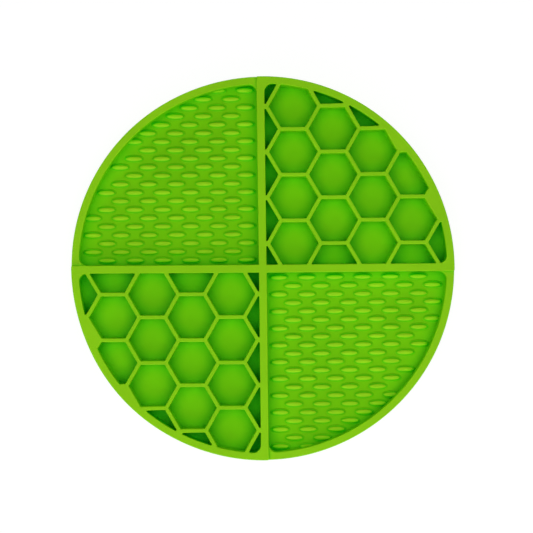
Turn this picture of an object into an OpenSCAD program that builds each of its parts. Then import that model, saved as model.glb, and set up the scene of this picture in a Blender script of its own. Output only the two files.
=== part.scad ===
// Round silicone lick mat, seen from above with +Y away from the viewer.
// A cross of dividers splits a shallow dish into four quarters. The
// north-east and south-west quarters hold a honeycomb of deep cells, and the
// north-west and south-east ones a field of low rice-grain nubs.
// The origin is the middle of the flat underside, and +Z points up.

/* [Mat] */
// Diameter of the whole mat
mat_d = 200; // [170:1:230]
// Thickness of the floor under the cells and nubs
floor_t = 2; // [1.2:0.1:3]
// Height of the dividers, the honeycomb and the high rims above the table
wall_top = 10; // [8.6:0.1:14]
// Height of the low rims, round the nub quarters
low_rim_top = 8; // [6:0.1:8.4]
// Rounding of the rim's outer top edge
edge_r = 0.8; // [0.3:0.1:1.5]
// Rounding of the underside's outer edge
foot_r = 0.6; // [0.2:0.1:1]

/* [Rim and dividers] */
// Width of the rim, seen from above
rim_w = 3.8; // [3:0.1:6]
// Width of the dividers
divider_w = 4; // [3:0.1:6]
// Radius where a divider runs into the rim
corner_r = 4; // [1:0.1:6]

/* [Honeycomb] */
// Spacing of the cells, from one flat side to the same side of the next
cell_pitch = 23.85; // [18:0.05:30]
// Thickness of the walls between the cells
web_t = 1.9; // [1.2:0.1:3]
// Length of the short walls that join the honeycomb to the upright dividers
stub_l = 1; // [0.4:0.1:3]
// How far past the rim's inner face the middle of a cut cell may lie
cell_overrun = 8.6; // [6:0.1:10]

/* [Nubs] */
// Length of a nub
nub_l = 8.8; // [6:0.1:11]
// Width of a nub, which stands half as high as it is wide
nub_w = 2.5; // [2.1:0.1:3.2]
// Radius of a nub's ends
nub_tip_r = 0.9; // [0.5:0.1:1]
// Spacing of the nubs along a row
nub_pitch = 14.8; // [12:0.1:20]
// Spacing of the rows
row_pitch = 4.46; // [3.6:0.01:7]
// From a divider's side to the middle of a row's first nub
nub_inset = 6.4; // [5.8:0.1:9]
// From a divider's side to the middle of the first row
row_inset = 2.6; // [1.8:0.05:5]
// How far past the rim's inner face a cut nub's tip may lie
nub_overrun = 2.8; // [2:0.1:3.4]

/* [Hidden] */
$fn = 96;
mat_r = mat_d / 2;
rim_in = mat_r - rim_w;
side = divider_w / 2;
// A cutting shape reaches this far past what it cuts
past = 1;

// The honeycomb's cells have flat north and south sides
cell_flat = cell_pitch - web_t;
cell_r = cell_flat / sqrt(3);
// A cell with its walls laps this far over the next cells, so that the cuts
// leave no sliver between the two
lap = 0.05;
walled_r = (cell_pitch + web_t) / sqrt(3) + lap;
lattice_r = cell_pitch / sqrt(3);
column_pitch = lattice_r * 1.5;
first_column = side + stub_l + lattice_r;
first_cell = side + cell_flat / 2;
columns = ceil(mat_r / column_pitch);
cells = ceil(mat_r / cell_pitch);

nubs = ceil(mat_r / nub_pitch);
rows = ceil(mat_r / row_pitch);

// Everything inside the mat's round outline, from the floor up to a level,
// with the outer top edge rounded
module outline(level) {
    rotate_extrude() {
        translate([0, floor_t]) square([mat_r - edge_r, level - floor_t]);
        translate([0, floor_t]) square([mat_r, level - edge_r - floor_t]);
        translate([mat_r - edge_r, level - edge_r]) circle(edge_r);
    }
}

// The plan of the north-east quarter, past the outline
module quarter_plan() {
    translate([side, side]) square(mat_r);
}

// The wedge between the rim and the north divider that the corner radius fills
module corner_plan() {
    middle_x = side + corner_r;
    middle_y = sqrt(pow(rim_in - corner_r, 2) - pow(middle_x, 2));
    touch = rim_in / (rim_in - corner_r);
    difference() {
        polygon([
            [middle_x, middle_y],
            [side, middle_y],
            [side, rim_in + past],
            [middle_x * touch, rim_in + past],
            [middle_x * touch, middle_y * touch],
        ]);
        translate([middle_x, middle_y]) circle(corner_r);
    }
}

// The plan of the hollow in a quarter, with its two rounded corners
module pocket_plan() {
    difference() {
        intersection() {
            quarter_plan();
            circle(rim_in, $fn = 360);
        }
        corner_plan();
        mirror([1, -1]) corner_plan();
    }
}

// The north-east quarter of the rim, up to a level, round the hollow whose plan
// is the child
module rim(level) {
    intersection() {
        outline(level);
        translate([0, 0, floor_t])
            linear_extrude(level - floor_t)
                difference() {
                    quarter_plan();
                    children();
                }
    }
}

// The arm of the cross that points east
module divider() {
    intersection() {
        outline(wall_top);
        translate([side, -side, floor_t])
            cube([mat_r, divider_w, wall_top - floor_t]);
    }
}

// Whether the rim leaves a cell whole
function is_whole(x, y) =
    norm([x + cell_r, y]) < rim_in &&
    norm([x + cell_r / 2, y + cell_flat / 2]) < rim_in;

// The plan of every cell that is open, or of the whole ones alone, before the
// rim and dividers cut it. A radius of walled_r takes in the walls round them.
module cells_plan(radius, whole = false) {
    for (column = [-1 : columns])
        for (cell = [0 : cells]) {
            odd = column % 2 != 0;
            x = first_column + column * column_pitch;
            y = first_cell + (cell - (odd ? 0.5 : 0)) * cell_pitch;
            open = norm([x, y]) <= rim_in + cell_overrun;
            if (whole ? is_whole(x, y) : open)
                translate([x, y]) circle(radius, $fn = 6);
        }
}

// The plan of all that lies inside the rim of a honeycomb quarter. What it
// leaves out is solid: the odd corners in which no cell fits, and the walls
// between two cells that the rim cuts.
module comb_plan() {
    intersection() {
        pocket_plan();
        union() {
            cells_plan(cell_r);
            cells_plan(walled_r, whole = true);
        }
    }
}

// The walls round the whole cells
module honeycomb() {
    translate([0, 0, floor_t])
        linear_extrude(wall_top - floor_t)
            difference() {
                intersection() {
                    pocket_plan();
                    cells_plan(walled_r, whole = true);
                }
                cells_plan(cell_r);
            }
}

// Half of a rice grain, lying on the floor along X. Its side is one arc that
// runs smoothly into the two round ends.
module nub() {
    tip_x = nub_l / 2 - nub_tip_r;
    bulge = nub_w / 2 - nub_tip_r;
    sink = (pow(tip_x, 2) - pow(bulge, 2)) / (2 * bulge);
    rotate([90, 0, 90])
        rotate_extrude(angle = 180)
            intersection() {
                translate([0, -nub_l]) square([nub_w, 2 * nub_l]);
                union() {
                    intersection() {
                        translate([-sink, 0]) circle(sink + nub_w / 2, $fn = 360);
                        translate([0, -tip_x]) square([nub_w, 2 * tip_x]);
                    }
                    for (end = [-1, 1])
                        translate([0, end * tip_x]) circle(nub_tip_r);
                }
            }
}

// The nubs of the north-west quarter. A nub that reaches the rim ends there.
module nub_field() {
    for (row = [0 : rows])
        for (place = [0 : nubs]) {
            odd = row % 2 != 0;
            x = -side - nub_inset - (place + (odd ? 0.5 : 0)) * nub_pitch;
            y = side + row_inset + row * row_pitch;
            tip = norm([abs(x) + nub_l / 2, y]);
            if (tip <= rim_in + nub_overrun)
                intersection() {
                    translate([x, y, floor_t]) nub();
                    if (tip > rim_in)
                        cylinder(r = rim_in, h = wall_top);
                }
        }
}

module floor_disc() {
    color("limegreen")
        rotate_extrude() {
            translate([0, foot_r]) square([mat_r, floor_t - foot_r]);
            square([mat_r - foot_r, floor_t]);
            translate([mat_r - foot_r, foot_r]) circle(foot_r);
        }
}

module rim_ne() {
    color("yellowgreen") rim(wall_top) comb_plan();
}

module rim_nw() {
    color("yellowgreen") rotate(90) rim(low_rim_top) pocket_plan();
}

module rim_sw() {
    color("yellowgreen") rotate(180) rim(wall_top) comb_plan();
}

module rim_se() {
    color("yellowgreen") rotate(270) rim(low_rim_top) pocket_plan();
}

module divider_hub() {
    color("yellowgreen")
        translate([-side, -side, floor_t])
            cube([divider_w, divider_w, wall_top - floor_t]);
}

module divider_east() {
    color("yellowgreen") divider();
}

module divider_north() {
    color("yellowgreen") rotate(90) divider();
}

module divider_west() {
    color("yellowgreen") rotate(180) divider();
}

module divider_south() {
    color("yellowgreen") rotate(270) divider();
}

module honeycomb_ne() {
    color("yellowgreen") honeycomb();
}

module honeycomb_sw() {
    color("yellowgreen") rotate(180) honeycomb();
}

module nubs_nw() {
    color("greenyellow") nub_field();
}

module nubs_se() {
    color("greenyellow") rotate(180) nub_field();
}

floor_disc();
rim_ne();
rim_nw();
rim_sw();
rim_se();
divider_hub();
divider_east();
divider_north();
divider_west();
divider_south();
honeycomb_ne();
honeycomb_sw();
nubs_nw();
nubs_se();
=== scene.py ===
# %% [markdown]
# # A round silicone lick mat
#
# The mat is one soft moulding, a shallow dish 200 mm across. A cross of dividers splits it into
# four quarters. Two opposite quarters hold a honeycomb of deep cells, and the other two hold rows
# of low nubs shaped like grains of rice. A pet licks soft food out of them.
#
# A mat like this could be extruded from flat curves and bevelled by a modifier. Here it is all
# mesh code instead. Each hollow is drawn as a plan, a list of points, and a wall profile is
# carried round it. The maker of a mould thinks in the same way: a cutter with a rounded shape
# follows a line. So every edge gets its own small radius, also where many walls meet.

# %% The frame and the tools
import math

import bmesh
import bpy
from mathutils import Matrix, Vector, noise


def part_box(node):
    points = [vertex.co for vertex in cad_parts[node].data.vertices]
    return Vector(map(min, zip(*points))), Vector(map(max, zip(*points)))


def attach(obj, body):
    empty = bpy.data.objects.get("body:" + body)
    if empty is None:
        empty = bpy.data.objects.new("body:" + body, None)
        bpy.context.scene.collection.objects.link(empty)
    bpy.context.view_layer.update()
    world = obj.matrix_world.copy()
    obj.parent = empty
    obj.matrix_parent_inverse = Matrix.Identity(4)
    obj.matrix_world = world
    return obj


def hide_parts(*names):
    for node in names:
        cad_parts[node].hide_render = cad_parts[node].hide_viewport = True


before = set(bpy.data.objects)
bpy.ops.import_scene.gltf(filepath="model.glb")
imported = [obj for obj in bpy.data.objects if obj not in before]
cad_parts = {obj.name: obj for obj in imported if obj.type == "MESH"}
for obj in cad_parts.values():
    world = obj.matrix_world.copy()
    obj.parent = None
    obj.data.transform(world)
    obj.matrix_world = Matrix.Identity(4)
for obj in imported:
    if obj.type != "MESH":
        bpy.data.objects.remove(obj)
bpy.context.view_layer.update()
print("nodes in the frame:", len(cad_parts))

# %% [markdown]
# ## Sizes
#
# The frame already knows how wide the mat is and how high its walls stand. Those sizes are read
# from it, so that the two models can't drift apart. The sizes inside a quarter can't be read from
# a box, so they are written here in millimetres and turned into metres.
#
# WEB is the wall between two cells, and STUB is the short wall that ties the nearest corner of the
# honeycomb to the upright divider. NUB_INSET and ROW_INSET place the first nub. The two overruns
# say how far past the rim's inside a cell's middle or a nub's end may lie before it is left out.

# %% Sizes from the frame, and the ones inside a quarter
MM = 0.001

MAT_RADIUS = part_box("floor_disc")[1].x
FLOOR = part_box("floor_disc")[1].z
HALF_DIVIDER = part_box("divider_hub")[1].x
WALL_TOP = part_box("divider_hub")[1].z
LOW_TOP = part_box("rim_nw")[1].z

RIM_WIDTH = 3.8 * MM
CORNER_RADIUS = 4 * MM
CELL_PITCH = 23.85 * MM
WEB = 1.9 * MM
STUB = 1 * MM
CELL_OVERRUN = 8.6 * MM

NUB_LENGTH = 8.8 * MM
NUB_WIDTH = 2.5 * MM
NUB_PITCH = 14.72 * MM
ROW_PITCH = 4.46 * MM
NUB_INSET = 6.3 * MM
ROW_INSET = 2.6 * MM
NUB_OVERRUN = 2.8 * MM

RIM_IN = MAT_RADIUS - RIM_WIDTH
print("mat radius, floor, low rim, walls:", MAT_RADIUS, FLOOR, LOW_TOP, WALL_TOP)

# %% [markdown]
# ## The camera
#
# The mat was photographed from straight above, a little off the middle of the picture and turned
# by half a degree. A camera could be dragged about until the picture looks right. This one is
# worked out, so that each part of the framing has a reason. Its height is a guess that gives the
# tall walls their slight spread towards the rim. The lens follows from how many pixels a
# millimetre takes at the top of the walls, and the place from the pixel of the mat's middle.

# %% The camera, straight above
PICTURE = 533
MIDDLE_PIXEL = (262.25, 267.6)
PIXELS_PER_MM = 1.9235
CAMERA_HEIGHT = 0.8
MAT_TURN = math.radians(0.5)
SENSOR = 36.0
NEAREST_SEEN = 0.01

camera_data = bpy.data.cameras.new("camera")
camera = bpy.data.objects.new("camera", camera_data)
bpy.context.scene.collection.objects.link(camera)
bpy.context.scene.camera = camera

pixels_at_lens = PIXELS_PER_MM / MM * (CAMERA_HEIGHT - WALL_TOP)
camera_data.sensor_width = SENSOR
camera_data.lens = SENSOR * pixels_at_lens / PICTURE
camera_data.clip_start = NEAREST_SEEN

picture_middle = (PICTURE - 1) / 2
right = (picture_middle - MIDDLE_PIXEL[0]) / PIXELS_PER_MM * MM
up = (MIDDLE_PIXEL[1] - picture_middle) / PIXELS_PER_MM * MM
camera.location = (
    right * math.cos(MAT_TURN) + up * math.sin(MAT_TURN),
    up * math.cos(MAT_TURN) - right * math.sin(MAT_TURN),
    CAMERA_HEIGHT,
)
camera.rotation_euler = (0, 0, -MAT_TURN)
print("lens:", round(camera_data.lens, 2), "mm, at", tuple(round(v, 4) for v in camera.location))

# %% [markdown]
# ## Plans
#
# Each hollow in the mat starts as a plan: a closed list of points that runs anticlockwise. The
# hollow of a quarter has two straight sides along the dividers, an arc along the rim, and two
# small arcs where a divider runs into the rim. A cell is a hexagon cut by all of those sides.
# A boolean modifier could do the cutting on solids, but it tends to leave slivers. Every plan
# here is convex, so cutting it is only a matter of keeping what lies on the inner side of one
# line after another.

# %% Arcs and cuts
QUARTER_TURN = math.pi / 2
RIM_STEP = math.radians(1.5)
CORNER_STEP = math.radians(10)
SAME_POINT = 0.03 * MM


def arc(middle, radius, start, end, step):
    """Points along an arc, both ends included."""
    count = math.ceil(abs(end - start) / step)
    angles = [start + (end - start) * i / count for i in range(count + 1)]
    return [middle + radius * Vector((math.cos(a), math.sin(a))) for a in angles]


def left_of(direction):
    """The direction a quarter turn to the left, which is inwards on an anticlockwise plan."""
    return Vector((-direction.y, direction.x))


def without_doubles(plan):
    """A plan without the points that almost repeat the one before."""
    return [
        here for here, before in zip(plan, plan[-1:] + plan[:-1])
        if (here - before).length > SAME_POINT
    ]


def cut(plan, start, end):
    """The part of a plan to the left of the line from start to end."""
    inward = left_of(end - start)
    kept = []
    for here, after in zip(plan, plan[1:] + plan[:1]):
        a = (here - start).dot(inward)
        b = (after - start).dot(inward)
        if a >= 0:
            kept.append(here)
        if a * b < 0:
            kept.append(here.lerp(after, a / (a - b)))
    return kept


def quarter_hollow():
    """The plan of the north-east quarter's hollow."""
    near = HALF_DIVIDER + CORNER_RADIUS
    far = math.sqrt((RIM_IN - CORNER_RADIUS) ** 2 - near ** 2)
    lean = math.atan2(near, far)
    plan = [Vector((HALF_DIVIDER, HALF_DIVIDER))]
    plan += arc(Vector((far, near)), CORNER_RADIUS, -QUARTER_TURN, lean, CORNER_STEP)
    plan += arc(Vector((0, 0)), RIM_IN, lean, QUARTER_TURN - lean, RIM_STEP)
    plan += arc(Vector((near, far)), CORNER_RADIUS, QUARTER_TURN - lean, math.pi, CORNER_STEP)
    return without_doubles(plan)


hollow = quarter_hollow()
print("the hollow's plan has", len(hollow), "points")

# %% [markdown]
# ## The honeycomb's cells
#
# The cells have flat north and south sides. Every second column is shifted by half a cell, and the
# first row sits flush against the divider. A cell is kept while its middle lies no more than a few
# millimetres past the rim, so the rim cuts some cells short and leaves solid ground in between.
# An array modifier could repeat one cell, but each cell at the rim would still need a shape of
# its own. Drawn as plans, whole cells and cut ones are made in the same way.

# %% The plan of each cell
HEXAGON = [Vector((math.cos(k * math.pi / 3), math.sin(k * math.pi / 3))) for k in range(6)]


def cell_plans():
    """The plans of the open cells of the north-east quarter, cut by the rim and dividers."""
    lattice = CELL_PITCH / math.sqrt(3)
    radius = (CELL_PITCH - WEB) / math.sqrt(3)
    column_pitch = 1.5 * lattice
    first_x = HALF_DIVIDER + STUB + lattice
    first_y = HALF_DIVIDER + (CELL_PITCH - WEB) / 2
    columns = math.ceil(MAT_RADIUS / column_pitch)
    rows = math.ceil(MAT_RADIUS / CELL_PITCH)
    plans = []
    for column in range(-1, columns + 1):
        shift = 0.5 * (column % 2)
        for row in range(rows + 1):
            middle = Vector((first_x + column_pitch * column, first_y + (row - shift) * CELL_PITCH))
            if middle.length > RIM_IN + CELL_OVERRUN:
                continue
            plan = [middle + radius * way for way in HEXAGON]
            for start, end in zip(hollow, hollow[1:] + hollow[:1]):
                plan = cut(plan, start, end)
            plans.append(without_doubles(plan))
    return plans


cells = cell_plans()
print("open cells in a quarter:", len(cells))

# %% [markdown]
# ## Rounding a plan
#
# Silicone can't fill a knife-sharp corner of its mould, so each corner of a cell is a small arc.
# A bevel on the finished walls would be uneven, because the corners of a cut cell are so unlike.
# So the plan itself is rounded. It keeps, with each point, the direction that leads to its left.
# Pushing the points along it moves the whole wall in or out and keeps it even, which the wall
# profile needs. A side too short for the arcs at its ends gives way, and its two neighbours are
# carried on until they meet. Long straight sides get points in between, so that they can wander
# a little later on.

# %% Directions, and how much room an arc takes
SHARP = math.radians(14)
ARC_STEP = math.radians(15)
ARC_CLEARANCE = 0.1 * MM
SPACING = 4 * MM


def turn_at(before, after):
    """The angle between two directions, positive to the left."""
    return math.atan2(before.x * after.y - before.y * after.x, before.dot(after))


def turned(direction, angle):
    """A direction turned to the left."""
    c = math.cos(angle)
    s = math.sin(angle)
    return Vector((c * direction.x - s * direction.y, s * direction.x + c * direction.y))


def arc_reach(turn, radius):
    """How far from a corner its arc begins. Only a sharp corner has an arc."""
    return radius * math.tan(abs(turn) / 2) if abs(turn) > SHARP else 0


def meeting(a, b, c, d):
    """The point where the line through a and b meets the line through c and d."""
    across = left_of(d - c)
    return a + (b - a) * ((c - a).dot(across) / (b - a).dot(across))


def with_room(plan, radius):
    """A plan whose sides all have room for their arcs. A triangle has no side to spare."""
    if len(plan) <= 3:
        return plan
    for i in range(len(plan)):
        a, b, c, d, *rest = plan[i:] + plan[:i]
        needed = arc_reach(turn_at(b - a, c - b), radius) + arc_reach(turn_at(c - b, d - c), radius)
        if needed > (c - b).length:
            return with_room([a, meeting(a, b, c, d), d, *rest], radius)
    return plan


print("a corner of less than", round(math.degrees(SHARP)), "degrees stays as it is")

# %% Rounded corners with a direction at every point
CELL_CORNER = 0.4 * MM


def spaced(pairs):
    """The same pairs, with more between two that lie far apart."""
    full = []
    for (here, left), (after, after_left) in zip(pairs, pairs[1:] + pairs[:1]):
        count = max(1, round((after - here).length / SPACING))
        for k in range(count):
            share = k / count
            full.append((here.lerp(after, share), left.lerp(after_left, share).normalized()))
    return full


def rounded(plan, radius):
    """Pairs of a point and its left direction, round a plan whose sharp corners become arcs."""
    plan = with_room(plan, radius)
    corners = []
    for i, point in enumerate(plan):
        before = (point - plan[i - 1]).normalized()
        after = (plan[(i + 1) % len(plan)] - point).normalized()
        turn = turn_at(before, after)
        corners.append((point, before, turn, arc_reach(turn, radius)))
    pairs = []
    for point, before, turn, reach in corners:
        left = left_of(before)
        if reach:
            hand = math.copysign(1, turn)
            middle = point - before * reach + left * radius * hand
            steps = math.ceil(abs(turn) / ARC_STEP)
            for k in range(steps + 1):
                way = turned(left, turn * k / steps)
                pairs.append((middle - way * radius * hand, way))
        elif all((point - p).length > r + ARC_CLEARANCE for p, _, _, r in corners if r):
            pairs.append((point, turned(left, turn / 2)))
    return spaced(pairs)


cell_lines = [rounded(plan, CELL_CORNER) for plan in cells]
print("points round the first cell:", len(cell_lines[0]))

# %% [markdown]
# ## The wall profile
#
# Seen in section, a wall has a rounded top edge, a side that leans out by a degree so that it
# leaves the mould, and a small fillet where it meets the floor. The rim's outside is plain and
# upright, with a larger round at its top. Below the floor's level each has a short root, so that
# no light slips through between two pieces. Bevels of several widths could make all this. A
# profile in writing is only a list of steps, each with how far the surface stands out from the
# wall's line and how high it is, and every size in it has a name.

# %% Profiles of the inner and outer walls
EDGE = 0.32 * MM
OUTER_EDGE = 0.5 * MM
DRAFT = math.tan(math.radians(1))
FILLET = 0.15 * MM
ROOT = 0.05 * MM
ROOT_INSET = 0.3 * MM
EDGE_STEPS = 4
FILLET_STEPS = 3


def edge_profile(top, edge):
    """The rounded top edge, from the flat land down to the side."""
    angles = [QUARTER_TURN * k / EDGE_STEPS for k in range(EDGE_STEPS + 1)]
    return [(edge * (math.sin(a) - 1), top + edge * (math.cos(a) - 1)) for a in angles]


def inner_profile(top):
    """A wall that a cell or a tray sees."""
    lean = (top - EDGE - FLOOR - FILLET) * DRAFT
    angles = [QUARTER_TURN * k / FILLET_STEPS for k in range(FILLET_STEPS + 1)]
    foot = [(lean + FILLET * (1 - math.cos(a)), FLOOR + FILLET * (1 - math.sin(a))) for a in angles]
    return edge_profile(top, EDGE) + foot + [(lean + FILLET, FLOOR - ROOT)]


def outer_profile(top):
    """The outside of the rim, in as many steps. Its root steps back into the floor sheet."""
    steps = FILLET_STEPS + 1
    drop = top - OUTER_EDGE - FLOOR
    side = [(0, top - OUTER_EDGE - drop * (k + 1) / steps) for k in range(steps)]
    return edge_profile(top, OUTER_EDGE) + side + [(-ROOT_INSET, FLOOR - ROOT)]


print("steps in a profile:", len(inner_profile(WALL_TOP)), len(outer_profile(WALL_TOP)))

# %% [markdown]
# ## From profile to mesh
#
# Two helpers turn plans into meshes. One lays a ring of points for each step of the profile and
# joins it to the ring above. The other fills flat ground between several rings, holes included,
# with triangles. Level ground and the hidden roots are shaded flat and the rest smooth, so light
# runs evenly over a rounded edge and the land beside it stays perfectly level. Weighted normals
# could do that too, but a mark on each face is simpler.

# %% Rings and fills
def join(mesh, ring, other, smooth=True):
    """A band of faces between two rings with the same number of points."""
    count = len(ring)
    for i in range(count):
        k = (i + 1) % count
        face = mesh.faces.new((ring[i], ring[k], other[k], other[i]))
        face.smooth = smooth


def lay_rings(mesh, line, profiles, sense):
    """Rings along a line of pairs, one for each step of the profiles. Returns the first and last."""
    rings = []
    for step in range(len(profiles[0])):
        ring = []
        for (point, left), profile in zip(line, profiles):
            out, height = profile[step]
            spot = point + left * (out * sense)
            ring.append(mesh.verts.new((spot.x, spot.y, height)))
        rings.append(ring)
    for upper, lower in zip(rings, rings[1:]):
        join(mesh, upper, lower, smooth=lower is not rings[-1])
    return rings[0], rings[-1]


def fill_flat(mesh, rings):
    """Flat ground between rings, of which the first surrounds the others. Returns its area."""
    edges = []
    for ring in rings:
        for here, after in zip(ring, ring[1:] + ring[:1]):
            edges.append(mesh.edges.get((here, after)) or mesh.edges.new((here, after)))
    made = bmesh.ops.triangle_fill(mesh, use_beauty=True, use_dissolve=False, edges=edges)
    faces = [f for f in made["geom"] if isinstance(f, bmesh.types.BMFace)]
    return sum(f.calc_area() for f in faces)


print("mesh helpers ready")

# %% [markdown]
# ## Out of true
#
# Soft rubber never lies quite square. On the real mat one divider leans a little against the
# other, straight walls waver by a tenth of a millimetre, the pattern inside the rim is drawn in,
# and in a few soft spots it lies a few tenths of a millimetre aside. A lattice could bend each
# piece, but neighbours might then part. One function that says where a point of the mat goes
# moves all pieces alike, and it gives the same result in every run.

# %% Where a point of the mat goes
WANDER = 0.12 * MM
WANDER_LENGTH = 55 * MM
EAST_WAVES = Vector((3.1, 7.7, 0.4))
NORTH_WAVES = Vector((9.2, 1.3, 5.8))
LEAN = 0.0027
SHRINK = 0.003
# Each soft spot has a middle, a reach and a shift. Each of these is east and north, in mm.
SOFT_SPOTS = (
    ((0, -28), (55, 24), (0, -0.55)),
    ((-92, -30), (20, 25), (0.55, 0)),
    ((90, 5), (20, 30), (-0.22, -0.2)),
    ((-30, 85), (30, 30), (-0.2, -0.3)),
)


def soft_shift(x, y):
    """How far the soft spots push a place, east and north."""
    east = 0
    north = 0
    for middle, reach, shift in SOFT_SPOTS:
        away = math.hypot((x / MM - middle[0]) / reach[0], (y / MM - middle[1]) / reach[1])
        share = math.exp(-away ** 2 / 2) * MM
        east += shift[0] * share
        north += shift[1] * share
    return east, north


def wander(spot):
    """Moves a point out of true: by the soft spots, slow waves, the shrink and the lean."""
    place = Vector((spot.x, spot.y, 0)) / WANDER_LENGTH
    inside = min(1, max(0, (RIM_IN - math.hypot(spot.x, spot.y)) / RIM_WIDTH))
    east, north = soft_shift(spot.x, spot.y)
    east += WANDER * noise.noise(place + EAST_WAVES)
    north += WANDER * noise.noise(place + NORTH_WAVES)
    spot.x += east - SHRINK * inside * spot.x - LEAN * spot.y
    spot.y += north - SHRINK * inside * spot.y


print("soft spots push the middle by", [round(v / MM, 2) for v in soft_shift(0, 0)], "mm")

# %% [markdown]
# ## Finishing a piece
#
# Each piece of the mat is finished in the same way. Its points go out of true, its faces turn
# outwards and its open edges are counted. Then it becomes an object that rides on the mat's one
# body and stands for some of the frame's nodes. This could be written out for each piece, but one
# helper forgets nothing. A closed moulding has no open edge, so the count should be 0.

# %% The finishing helper
def finish_piece(mesh, name, *nodes):
    """Makes an object of a closed mesh that stands for some of the frame's nodes."""
    for vert in mesh.verts:
        wander(vert.co)
    bmesh.ops.recalc_face_normals(mesh, faces=mesh.faces)
    open_edges = sum(1 for e in mesh.edges if not e.is_manifold)
    data = bpy.data.meshes.new(name)
    mesh.to_mesh(data)
    mesh.free()
    piece = bpy.data.objects.new(name, data)
    bpy.context.scene.collection.objects.link(piece)
    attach(piece, "root")
    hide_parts(*nodes)
    print(name, "faces:", len(data.polygons), "open edges:", open_edges)
    return piece


print("finishing helper ready")

# %% [markdown]
# ## The high walls
#
# The cross of dividers, the two high quarters of the rim and both honeycombs share one level top,
# and on the real mat nothing parts them. Made as separate pieces they would show hairlines where
# they meet, so they are one mesh here. Its outline runs round the high rim on two sides and along
# the dividers on the other two. Where it leaves the rim for a divider, the outer profile turns
# into the inner one over about a millimetre. Every cell is a hole with its own wall.

# %% The outline of the high walls
WALL_CORNER = 0.6 * MM
BLEND_START = 2 * WALL_CORNER
BLEND_LENGTH = 1.8 * WALL_CORNER


def high_outline():
    """The outline's plan: out along a divider, round the rim and back along the next one."""
    lean = math.asin(HALF_DIVIDER / MAT_RADIUS)
    half = arc(Vector((0, 0)), MAT_RADIUS, -lean, QUARTER_TURN + lean, RIM_STEP)
    half.append(Vector((-HALF_DIVIDER, HALF_DIVIDER)))
    return half + [-p for p in half]


def outline_profiles(line):
    """The outer profile on the rim, the inner one along the dividers, and a blend between."""
    inner = inner_profile(WALL_TOP)
    outer = outer_profile(WALL_TOP)
    profiles = []
    for point, _ in line:
        share = (point.length - (MAT_RADIUS - BLEND_START)) / BLEND_LENGTH
        share = min(1, max(0, share))
        profiles.append([
            (a[0] + (b[0] - a[0]) * share, a[1] + (b[1] - a[1]) * share)
            for a, b in zip(inner, outer)
        ])
    return profiles


outline = rounded(high_outline(), WALL_CORNER)
print("points round the high walls:", len(outline))

# %% The high walls
def half_round(line):
    """The same line, turned half way round the mat."""
    return [(-point, -left) for point, left in line]


walls_mesh = bmesh.new()
top, root = lay_rings(walls_mesh, outline, outline_profiles(outline), -1)
tops = [top]
roots = [root]
cell_profile = inner_profile(WALL_TOP)
for line in cell_lines + [half_round(line) for line in cell_lines]:
    top, root = lay_rings(walls_mesh, line, [cell_profile] * len(line), 1)
    tops.append(top)
    roots.append(root)
land = fill_flat(walls_mesh, tops)
fill_flat(walls_mesh, roots)
print("flat land on the walls:", round(land / MM ** 2), "square millimetres")
walls = finish_piece(
    walls_mesh, "high_walls",
    "divider_hub", "divider_east", "divider_north", "divider_west", "divider_south",
    "rim_ne", "rim_sw", "honeycomb_ne", "honeycomb_sw",
)

# %% [markdown]
# ## The low rims
#
# Round the nubs the rim is 2 mm lower. Each of these two pieces is a bar with a rounded section
# that follows the rim and flares out at both ends, where the corner radius carries it into a
# divider. A bevelled curve could make a bar of one width, but this one gets wider, so it is
# lofted: at each station a section runs from the hollow's side to the mat's outside. Its last
# sections lie just inside the dividers, so that the joint is tight.

# %% Stations and sections of a low rim
ON_RIM_SLACK = 0.01 * MM


def on_rim(point):
    """Whether a point of the hollow's line belongs to the rim or its corner radii."""
    far = math.sqrt((RIM_IN - CORNER_RADIUS) ** 2 - (HALF_DIVIDER + CORNER_RADIUS) ** 2)
    return point.length > math.hypot(far, HALF_DIVIDER) - ON_RIM_SLACK


def rim_stations():
    """Pairs on the hollow's side and on the outside, from the east divider to the north one."""
    inner = [pair for pair in rounded(hollow, CELL_CORNER) if on_rim(pair[0])]
    inner.sort(key=lambda pair: math.atan2(pair[0].y, pair[0].x))
    low = math.asin(HALF_DIVIDER / MAT_RADIUS)
    outer = []
    for point, _ in inner:
        angle = math.atan2(point.y - HALF_DIVIDER, point.x - HALF_DIVIDER)
        angle = low + angle / QUARTER_TURN * (QUARTER_TURN - 2 * low)
        away = Vector((math.cos(angle), math.sin(angle)))
        outer.append((away * MAT_RADIUS, away))
    return inner, outer


def section(mesh, inner, outer, shift):
    """One closed section of the bar: up the hollow's side, over the top and down the outside."""
    loop = []
    for out, height in reversed(inner_profile(LOW_TOP)):
        spot = inner[0] + inner[1] * out + shift
        loop.append(mesh.verts.new((spot.x, spot.y, height)))
    for out, height in outer_profile(LOW_TOP):
        spot = outer[0] + outer[1] * out + shift
        loop.append(mesh.verts.new((spot.x, spot.y, height)))
    return loop


print("stations on a low rim:", len(rim_stations()[0]))

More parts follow.
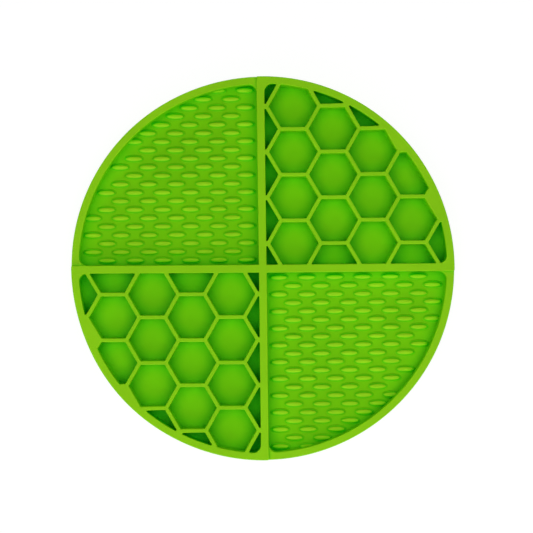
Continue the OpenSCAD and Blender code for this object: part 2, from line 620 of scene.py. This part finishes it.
# %% The low rims
def low_rim(name, node, turn):
    """A low rim quarter, made in the north-east and turned to its place."""
    mesh = bmesh.new()
    inner, outer = rim_stations()
    into_east = Vector((0, -WALL_CORNER))
    into_north = Vector((-WALL_CORNER, 0))
    level = Vector((0, 0))
    loops = [section(mesh, inner[0], outer[0], into_east)]
    loops += [section(mesh, a, b, level) for a, b in zip(inner, outer)]
    loops.append(section(mesh, inner[-1], outer[-1], into_north))
    for loop, after in zip(loops, loops[1:]):
        join(mesh, loop, after)
    # Round a section, the inner root is the first band. The land follows the inner side, and the
    # outer root and the bottom come last. These four are flat.
    bands = len(loops[0])
    land_band = len(inner_profile(LOW_TOP)) - 1
    flat_bands = (0, land_band, bands - 2, bands - 1)
    for index, face in enumerate(mesh.faces):
        face.smooth = index % bands not in flat_bands
    mesh.faces.new(loops[0])
    mesh.faces.new(loops[-1])
    bmesh.ops.rotate(mesh, verts=mesh.verts, matrix=Matrix.Rotation(turn, 3, "Z"))
    return finish_piece(mesh, name, node)


low_rims = [
    low_rim("low_rim_nw", "rim_nw", QUARTER_TURN),
    low_rim("low_rim_se", "rim_se", -QUARTER_TURN),
]

# %% [markdown]
# ## The floor sheet
#
# Under everything lies a sheet 2 mm thick. Only its top shows between the walls, and its underside
# is the face that the mat stands on. A bevelled cylinder has the same shape, but no points between
# its middle and its edge that could follow the soft spots. So the sheet is turned like a plate on
# a lathe: one profile from the middle of the underside, round the soft outer edge and back to the
# middle of the top. A ring just below the upper edge holds the smooth shading of the side, which
# would else darken towards it.

# %% The floor sheet
FOOT = 0.6 * MM
FOOT_STEPS = 5
ROUND = 360
FLOOR_RINGS = 12


def floor_profile():
    """Radius and height from the underside's middle, round the edge, to the top's middle."""
    shares = [(k + 1) / FLOOR_RINGS for k in range(FLOOR_RINGS)]
    under = [((MAT_RADIUS - FOOT) * share, 0) for share in shares]
    angles = [QUARTER_TURN * (k + 1) / FOOT_STEPS for k in range(FOOT_STEPS)]
    edge = [
        (MAT_RADIUS - FOOT * (1 - math.sin(a)), FOOT * (1 - math.cos(a)))
        for a in angles
    ]
    holding_ring = [(MAT_RADIUS, FLOOR - ROOT)]
    top = [(MAT_RADIUS * share, FLOOR) for share in reversed(shares)]
    return under + edge + holding_ring + top


floor_mesh = bmesh.new()
rings = []
for radius, height in floor_profile():
    ring = []
    for k in range(ROUND):
        angle = 2 * math.pi * k / ROUND
        ring.append(floor_mesh.verts.new((radius * math.cos(angle), radius * math.sin(angle), height)))
    rings.append(ring)
for ring, after in zip(rings, rings[1:]):
    join(floor_mesh, ring, after)
floor_mesh.faces.new(rings[0])
floor_mesh.faces.new(rings[-1])
for face in floor_mesh.faces:
    heights = [v.co.z for v in face.verts]
    face.smooth = max(heights) > min(heights)
floor_sheet = finish_piece(floor_mesh, "floor_sheet", "floor_disc")

# %% [markdown]
# ## The nubs
#
# A nub is a grain of rice lying on the floor: long, low and domed, with a foot that flares into
# the sheet. A stretched ball comes close, but it meets the sheet at a hard crease. So a nub is a
# stack of rings, long rounded shapes that shrink as they climb, faster across than along, and the
# top is a soft ridge that falls off to both ends. The dome would close to a point, so it stops
# half a ring short and gets a small cap. The rows are staggered like bricks. A nub that reaches
# the rim runs into it, as it does where the mould was cut.

# %% One nub
NUB_POINTS = 32
NUB_BLUNT = 2.2
NUB_RIDGE = 0.55
NUB_HEIGHT = 1.25 * MM
FLARE_WIDTH = 0.95 * MM
FLARE_HEIGHT = 0.35 * MM
FLARE_RINGS = 4
DOME_RINGS = 8
RINGS_TO_A_POINT = DOME_RINGS - 0.5


def nub_steps():
    """Half the length, half the width and the height of each ring of a nub, from below."""
    long = NUB_LENGTH / 2
    wide = NUB_WIDTH / 2
    steps = [(long + FLARE_WIDTH, wide + FLARE_WIDTH, -ROOT)]
    for k in range(FLARE_RINGS):
        a = QUARTER_TURN * k / FLARE_RINGS
        out = FLARE_WIDTH * (1 - math.sin(a))
        steps.append((long + out, wide + out, FLARE_HEIGHT * (1 - math.cos(a))))
    for k in range(DOME_RINGS):
        a = QUARTER_TURN * k / RINGS_TO_A_POINT
        height = FLARE_HEIGHT + (NUB_HEIGHT - FLARE_HEIGHT) * math.sin(a)
        steps.append((long * math.cos(a) ** NUB_RIDGE, wide * math.cos(a), height))
    return steps


def add_nub(mesh, middle):
    """One closed nub on the floor, with its long side along X."""
    rings = []
    for along, across, height in nub_steps():
        ring = []
        for k in range(NUB_POINTS):
            a = 2 * math.pi * k / NUB_POINTS
            c = math.cos(a)
            s = math.sin(a)
            x = along * math.copysign(abs(c) ** (2 / NUB_BLUNT), c)
            y = across * math.copysign(abs(s) ** (2 / NUB_BLUNT), s)
            ring.append(mesh.verts.new((middle.x + x, middle.y + y, FLOOR + height)))
        rings.append(ring)
    for ring, after in zip(rings, rings[1:]):
        join(mesh, ring, after, smooth=ring is not rings[0])
    mesh.faces.new(rings[0])
    mesh.faces.new(rings[-1]).smooth = True


print("rings on a nub:", len(nub_steps()))

# %% The two fields of nubs
def nub_middles():
    """The middles of the north-west quarter's nubs."""
    middles = []
    for row in range(math.ceil(MAT_RADIUS / ROW_PITCH)):
        shift = 0.5 * (row % 2)
        y = HALF_DIVIDER + ROW_INSET + row * ROW_PITCH
        for place in range(math.ceil(MAT_RADIUS / NUB_PITCH)):
            x = HALF_DIVIDER + NUB_INSET + (place + shift) * NUB_PITCH
            if math.hypot(x + NUB_LENGTH / 2, y) <= RIM_IN + NUB_OVERRUN:
                middles.append(Vector((-x, y)))
    return middles


def nub_field(name, node, sense):
    """All nubs of a quarter as one piece."""
    mesh = bmesh.new()
    for middle in nub_middles():
        add_nub(mesh, middle * sense)
    return finish_piece(mesh, name, node)


print("nubs in a field:", len(nub_middles()))
nub_fields = [
    nub_field("nub_field_nw", "nubs_nw", 1),
    nub_field("nub_field_se", "nubs_se", -1),
]

# %% [markdown]
# ## Nodes for the silicone
#
# The mat is lime-green silicone with a satin skin. Light goes a little way into it, so thin walls
# and nubs look lighter and yellower than the floor, and their feet take on the floor's deeper
# green. Deep scattering alone could show this, but it is slow and hard to steer. So this light and
# shade is painted into the colour: it follows the height, through a few stops, and hollows get
# painted shade, a stronger green, on top of that. Slow noise lets the colour drift by a few per
# cent. No picture is used, so nothing can stretch or show a seam.

# %% Small helpers for nodes
def add_node(tree, kind, **values):
    """A shader node with its inputs set by name."""
    node = tree.nodes.new(kind)
    for name, value in values.items():
        node.inputs[name.replace("_", " ")].default_value = value
    return node


def add_range(tree, source, span, result, kind="SMOOTHSTEP"):
    """A node that maps one span of values to another."""
    node = add_node(
        tree, "ShaderNodeMapRange",
        From_Min=span[0], From_Max=span[1], To_Min=result[0], To_Max=result[1],
    )
    node.interpolation_type = kind
    tree.links.new(source, node.inputs["Value"])
    return node.outputs["Result"]


def add_ramp(tree, share, stops):
    """A node that turns a value from 0 to 1 into a colour, through stops of a value and a colour."""
    ramp = tree.nodes.new("ShaderNodeValToRGB")
    tones = ramp.color_ramp.elements
    while len(tones) < len(stops):
        tones.new(1)
    for tone, (position, colour) in zip(tones, stops):
        tone.position = position
        tone.color = (*colour, 1)
    tree.links.new(share, ramp.inputs["Fac"])
    return ramp.outputs["Color"]


def add_noise(tree, place, scale, detail, roughness):
    """A soft random pattern over the mat. Its values lie round 0.5."""
    node = add_node(tree, "ShaderNodeTexNoise", Scale=scale, Detail=detail, Roughness=roughness)
    tree.links.new(place, node.inputs["Vector"])
    return node.outputs["Fac"]


print("node helpers ready")

# %% Painted light and shade by height, drift, and painted shade in hollows
NOISE_SPAN = (0.3, 0.7)
DRIFT = 0.04
DRIFT_NOISE = (24.0, 3.0, 0.55)
HOLLOW_SHADE_REACH = 9 * MM
HOLLOW_SHADE_SAMPLES = 12
# Painted shade in hollows: how open a place is, from 0 to 1, and what its colour is multiplied by.
HOLLOW_SHADE_TINTS = (
    (0.20, (0.06, 0.78, 0.0)),
    (0.50, (0.62, 1.0, 0.3)),
    (0.85, (1.0, 1.0, 1.0)),
)
# A Mix node has sockets for every kind of data. These are the numbers of those for colours.
MIX_A = 6
MIX_B = 7
MIX_RESULT = 2


def height_light_and_shade(tree, place, stops):
    """Painted light and shade: colours that follow the height above the floor, through stops of a
    height and a colour.
    """
    split = tree.nodes.new("ShaderNodeSeparateXYZ")
    tree.links.new(place, split.inputs["Vector"])
    rise = stops[-1][0]
    share = add_range(tree, split.outputs["Z"], (FLOOR, FLOOR + rise), (0, 1), "LINEAR")
    return add_ramp(tree, share, [(height / rise, colour) for height, colour in stops])


def drifting(tree, place, colour):
    """The same colour, a little lighter and darker in slow patches."""
    patches = add_noise(tree, place, *DRIFT_NOISE)
    shade = add_node(tree, "ShaderNodeHueSaturation")
    value = add_range(tree, patches, NOISE_SPAN, (1 - DRIFT, 1 + DRIFT))
    tree.links.new(value, shade.inputs["Value"])
    tree.links.new(colour, shade.inputs["Color"])
    return shade.outputs["Color"]


def painted_hollow_shade(tree, colour):
    """The same colour with painted shade: stronger and greener in hollows, where light arrives only
    after many bounces.
    """
    openness = add_node(tree, "ShaderNodeAmbientOcclusion", Distance=HOLLOW_SHADE_REACH)
    openness.samples = HOLLOW_SHADE_SAMPLES
    tint = tree.nodes.new("ShaderNodeMix")
    tint.data_type = "RGBA"
    tint.blend_type = "MULTIPLY"
    tint.inputs["Factor"].default_value = 1
    tree.links.new(colour, tint.inputs[MIX_A])
    tree.links.new(add_ramp(tree, openness.outputs["AO"], HOLLOW_SHADE_TINTS), tint.inputs[MIX_B])
    return tint.outputs[MIX_RESULT]


print("a hollow is felt up to", round(HOLLOW_SHADE_REACH / MM), "mm away")

# %% [markdown]
# ## Grain and satin
#
# A mould for silicone is blasted, so the skin is satin and not glossy. A plain roughness value
# would look like paint. Two bumps make the skin instead: one broad and shallow, as soft rubber is
# never truly flat, and one very fine, the grain that the mould leaves. Roughness drifts with
# handling. The gloss is low because the skin scatters most light before it can mirror it, and a
# little scattering below the skin softens the edges.

# %% The silicone
# Each noise has a scale, a detail and a roughness. Each bump has a strength and a depth. The
# scattering reaches a different share of its depth in red, green and blue.
SWELL_NOISE = (65.0, 2.0, 0.5)
SWELL_BUMP = (0.25, 0.25 * MM)
GRAIN_NOISE = (2400.0, 2.0, 0.5)
GRAIN_BUMP = (0.3, 0.02 * MM)
HANDLING_NOISE = (140.0, 4.0, 0.6)
SATIN = (0.40, 0.52)
REFRACTION = 1.41
GLOSS = 0.08
SCATTERING = 0.15
SCATTER_SHARES = (0.9, 1.2, 0.3)
SCATTER_DEPTH = 1.0 * MM


def add_skin(tree, place):
    """The normal of a skin with a broad swell under a fine grain."""
    normal = None
    for pattern, (strength, depth) in ((SWELL_NOISE, SWELL_BUMP), (GRAIN_NOISE, GRAIN_BUMP)):
        bump = add_node(tree, "ShaderNodeBump", Strength=strength, Distance=depth)
        tree.links.new(add_noise(tree, place, *pattern), bump.inputs["Height"])
        if normal:
            tree.links.new(normal, bump.inputs["Normal"])
        normal = bump.outputs["Normal"]
    return normal


def silicone(name, *stops, with_hollow_shade=True):
    """Satin silicone whose colour follows the height to paint light and shade, through stops of a
    height and a colour.
    """
    material = bpy.data.materials.new(name)
    material.use_nodes = True
    tree = material.node_tree
    shader = tree.nodes["Principled BSDF"]
    shader.inputs["IOR"].default_value = REFRACTION
    shader.inputs["Specular IOR Level"].default_value = GLOSS
    shader.inputs["Subsurface Weight"].default_value = SCATTERING
    shader.inputs["Subsurface Radius"].default_value = SCATTER_SHARES
    shader.inputs["Subsurface Scale"].default_value = SCATTER_DEPTH
    place = tree.nodes.new("ShaderNodeTexCoord").outputs["Object"]
    colour = drifting(tree, place, height_light_and_shade(tree, place, stops))
    if with_hollow_shade:
        # Painted shade: hollows get a deeper, greener colour.
        colour = painted_hollow_shade(tree, colour)
    satin = add_range(tree, add_noise(tree, place, *HANDLING_NOISE), NOISE_SPAN, SATIN)
    tree.links.new(colour, shader.inputs["Base Color"])
    tree.links.new(satin, shader.inputs["Roughness"])
    tree.links.new(add_skin(tree, place), shader.inputs["Normal"])
    return material


print("the skin's roughness runs from", SATIN[0], "to", SATIN[1])

# %% [markdown]
# ## One silicone in five materials, with painted light and shade
#
# It is one material on the real mat. Here light and shade are painted into its colour, which
# follows the height above the floor, and the pieces have different heights. So each kind of piece
# gets the same silicone with its own stops: walls have painted shade, a deep green, on their sides
# under a lime top, nubs go from a painted shaded foot to a painted highlight on the crest, and the
# floor is painted deep green throughout. The rim's outside and the underside have no hollows, and
# light reaches them freely. They wear an outer skin that is lime all over, with no painted shade.
# One skin for everything would need to be told where each piece is.

# %% The silicones, with painted light and shade
# The deep green is painted shade on floors, wall sides and nub feet. LIME is the mat's own colour.
SHADED_GREEN = (0.205, 0.695, 0.0004)
LIME = (0.300, 0.728, 0.0070)
# The nubs' foot colour is painted shade and their crest colour a painted highlight.
NUB_FOOT_SHADE = (0.132, 0.705, 0.0003)
NUB_LIT_CREST = (0.370, 0.800, 0.0120)
# The painted shade on a wall's side stops this far below its top.
SHADE_ENDS_BELOW_TOP = 1 * MM
FOOT_SHADE_FROM = 0.04 * MM
FOOT_SHADE_TO = 0.25 * MM
NUB_CREST = 0.85 * NUB_HEIGHT


def shaded_wall_silicone(name, height):
    """Silicone for walls of one height above the floor: painted shade, a deep green, on the sides under
    a lime top.
    """
    return silicone(
        name, (0, SHADED_GREEN), (height - SHADE_ENDS_BELOW_TOP, SHADED_GREEN), (height - EDGE, LIME),
    )


outer_skin = silicone("silicone_outside", (0, LIME), (WALL_TOP, LIME), with_hollow_shade=False)
floor_shade_silicone = silicone("silicone_floor", (0, SHADED_GREEN), (WALL_TOP, SHADED_GREEN))
walls_shade_silicone = shaded_wall_silicone("silicone_walls", WALL_TOP - FLOOR)
low_rims_shade_silicone = shaded_wall_silicone("silicone_low_rims", LOW_TOP - FLOOR)
# Nubs with painted shade at the foot and a painted highlight on the crest.
nubs_shade_silicone = silicone(
    "silicone_nubs",
    (0, SHADED_GREEN), (FOOT_SHADE_FROM, NUB_FOOT_SHADE), (FOOT_SHADE_TO, NUB_FOOT_SHADE), (NUB_CREST, NUB_LIT_CREST),
)
print("materials:", [m.name for m in bpy.data.materials if m.name.startswith("silicone_")])

# %% Dressing the pieces
OUTSIDE = MAT_RADIUS - 1.5 * OUTER_EDGE


def dress(piece, skin):
    """The silicone with painted shade inside the mat, and the outer skin on the faces that lie outside
    or underneath.
    """
    piece.data.materials.append(skin)
    piece.data.materials.append(outer_skin)
    outer_index = len(piece.data.materials) - 1
    outside = [
        face for face in piece.data.polygons
        if face.center.xy.length > OUTSIDE or face.center.z < FOOT
    ]
    for face in outside:
        face.material_index = outer_index
    print(piece.name, "faces with the outer skin:", len(outside))


dress(walls, walls_shade_silicone)
dress(floor_sheet, floor_shade_silicone)
for piece in low_rims:
    dress(piece, low_rims_shade_silicone)
for piece in nub_fields:
    piece.data.materials.append(nubs_shade_silicone)

# %% [markdown]
# ## The sweep
#
# The mat lies on a plain white sweep, lit so evenly that it turns pure white, as in a shop's
# picture. Strong lamps on white paper could do it, but they would wash out the mat. So most of the
# white is the sheet's own glow, as on a light table, and the rest is what it gets from the lights.
# The sheet lies a tenth of a millimetre below the mat, so that the two never share a plane. It
# shows from above only, and a look from below meets the mat's underside.

# %% The white sweep
SWEEP_SIZE = 12.0
SWEEP_GAP = 0.1 * MM
SWEEP_SQUARES = 24

sweep_mesh = bmesh.new()
bmesh.ops.create_grid(
    sweep_mesh, x_segments=SWEEP_SQUARES, y_segments=SWEEP_SQUARES, size=SWEEP_SIZE / 2,
)
sweep_data = bpy.data.meshes.new("sweep")
sweep_mesh.to_mesh(sweep_data)
sweep_mesh.free()
sweep = bpy.data.objects.new("sweep", sweep_data)
sweep.location.z = -SWEEP_GAP
bpy.context.scene.collection.objects.link(sweep)
print("sweep:", SWEEP_SIZE, "m")

# %% The white paper
PAPER = 0.11
PAPER_ROUGHNESS = 0.9
PAPER_GLOSS = 0.1
WHITE = (1, 1, 1, 1)
GLOW = 0.93
# The two shader sockets of a Mix Shader node: for the paper's front and for its back.
FRONT = 1
BACK = 2

paper = bpy.data.materials.new("white_paper")
paper.use_nodes = True
paper_tree = paper.node_tree
paper_shader = paper_tree.nodes["Principled BSDF"]
paper_shader.inputs["Base Color"].default_value = (PAPER, PAPER, PAPER, 1)
paper_shader.inputs["Roughness"].default_value = PAPER_ROUGHNESS
paper_shader.inputs["Specular IOR Level"].default_value = PAPER_GLOSS
paper_shader.inputs["Emission Color"].default_value = WHITE
paper_shader.inputs["Emission Strength"].default_value = GLOW
one_sided = paper_tree.nodes.new("ShaderNodeMixShader")
see_through = paper_tree.nodes.new("ShaderNodeBsdfTransparent")
side = paper_tree.nodes.new("ShaderNodeNewGeometry").outputs["Backfacing"]
paper_tree.links.new(side, one_sided.inputs["Fac"])
paper_tree.links.new(paper_shader.outputs["BSDF"], one_sided.inputs[FRONT])
paper_tree.links.new(see_through.outputs["BSDF"], one_sided.inputs[BACK])
paper_tree.links.new(one_sided.outputs["Shader"], paper_tree.nodes["Material Output"].inputs["Surface"])
sweep_data.materials.append(paper)
print("the paper glows at", GLOW, "and reflects", PAPER)

# %% [markdown]
# ## Light
#
# Two big soft boxes hang to the east and west, high enough to reach the floor of a cell but not
# straight above, where flat silicone would mirror them into the lens. Two smaller ones stand to
# the south, one of them low and a little to the west, so edges that face south are the brighter
# ones. The last, in the north, is the weakest for its distance. A single sun would be simpler,
# but it throws hard shadows, and the photographed mat has none: the foot of each wall only sinks
# into deep green. The room is white near the horizon and dark above, so a low view still has a
# pale backdrop and the mat gets little light from it.

# %% The soft boxes
def soft_box(name, azimuth, elevation, distance, size, power):
    """A square soft box that looks at the mat. Its azimuth counts from east through north."""
    a = math.radians(azimuth)
    e = math.radians(elevation)
    away = Vector((math.cos(e) * math.cos(a), math.cos(e) * math.sin(a), math.sin(e)))
    data = bpy.data.lights.new(name, "AREA")
    data.size = size
    data.energy = power
    box = bpy.data.objects.new(name, data)
    box.location = away * distance
    box.rotation_euler = (-away).to_track_quat("-Z", "Y").to_euler()
    box.visible_camera = False
    bpy.context.scene.collection.objects.link(box)
    print(name, "at", tuple(round(v, 2) for v in box.location), power, "W")


soft_box("box_east", azimuth=0, elevation=62, distance=1.2, size=0.75, power=3.6)
soft_box("box_west", azimuth=180, elevation=62, distance=1.2, size=0.75, power=3.45)
soft_box("box_south", azimuth=270, elevation=50, distance=0.8, size=0.5, power=1.0)
soft_box("box_south_low", azimuth=260, elevation=24, distance=0.8, size=0.5, power=1.7)
soft_box("box_north", azimuth=90, elevation=50, distance=1.2, size=0.6, power=0.9)

# %% The room
HORIZON_SPAN = (0.12, 0.36)
ROOM_GLOW = (0.95, 0.03)

room = bpy.data.worlds.new("studio")
room.use_nodes = True
room_tree = room.node_tree
backdrop = room_tree.nodes["Background"]
backdrop.inputs["Color"].default_value = WHITE
look = room_tree.nodes.new("ShaderNodeTexCoord")
look_height = room_tree.nodes.new("ShaderNodeSeparateXYZ")
room_tree.links.new(look.outputs["Generated"], look_height.inputs["Vector"])
room_glow = add_range(room_tree, look_height.outputs["Z"], HORIZON_SPAN, ROOM_GLOW)
room_tree.links.new(room_glow, backdrop.inputs["Strength"])
bpy.context.scene.world = room
bpy.context.scene.view_settings.view_transform = "Standard"
bpy.context.scene.view_settings.look = "None"
print("the room's light falls from", ROOM_GLOW[0], "at the horizon to", ROOM_GLOW[1])
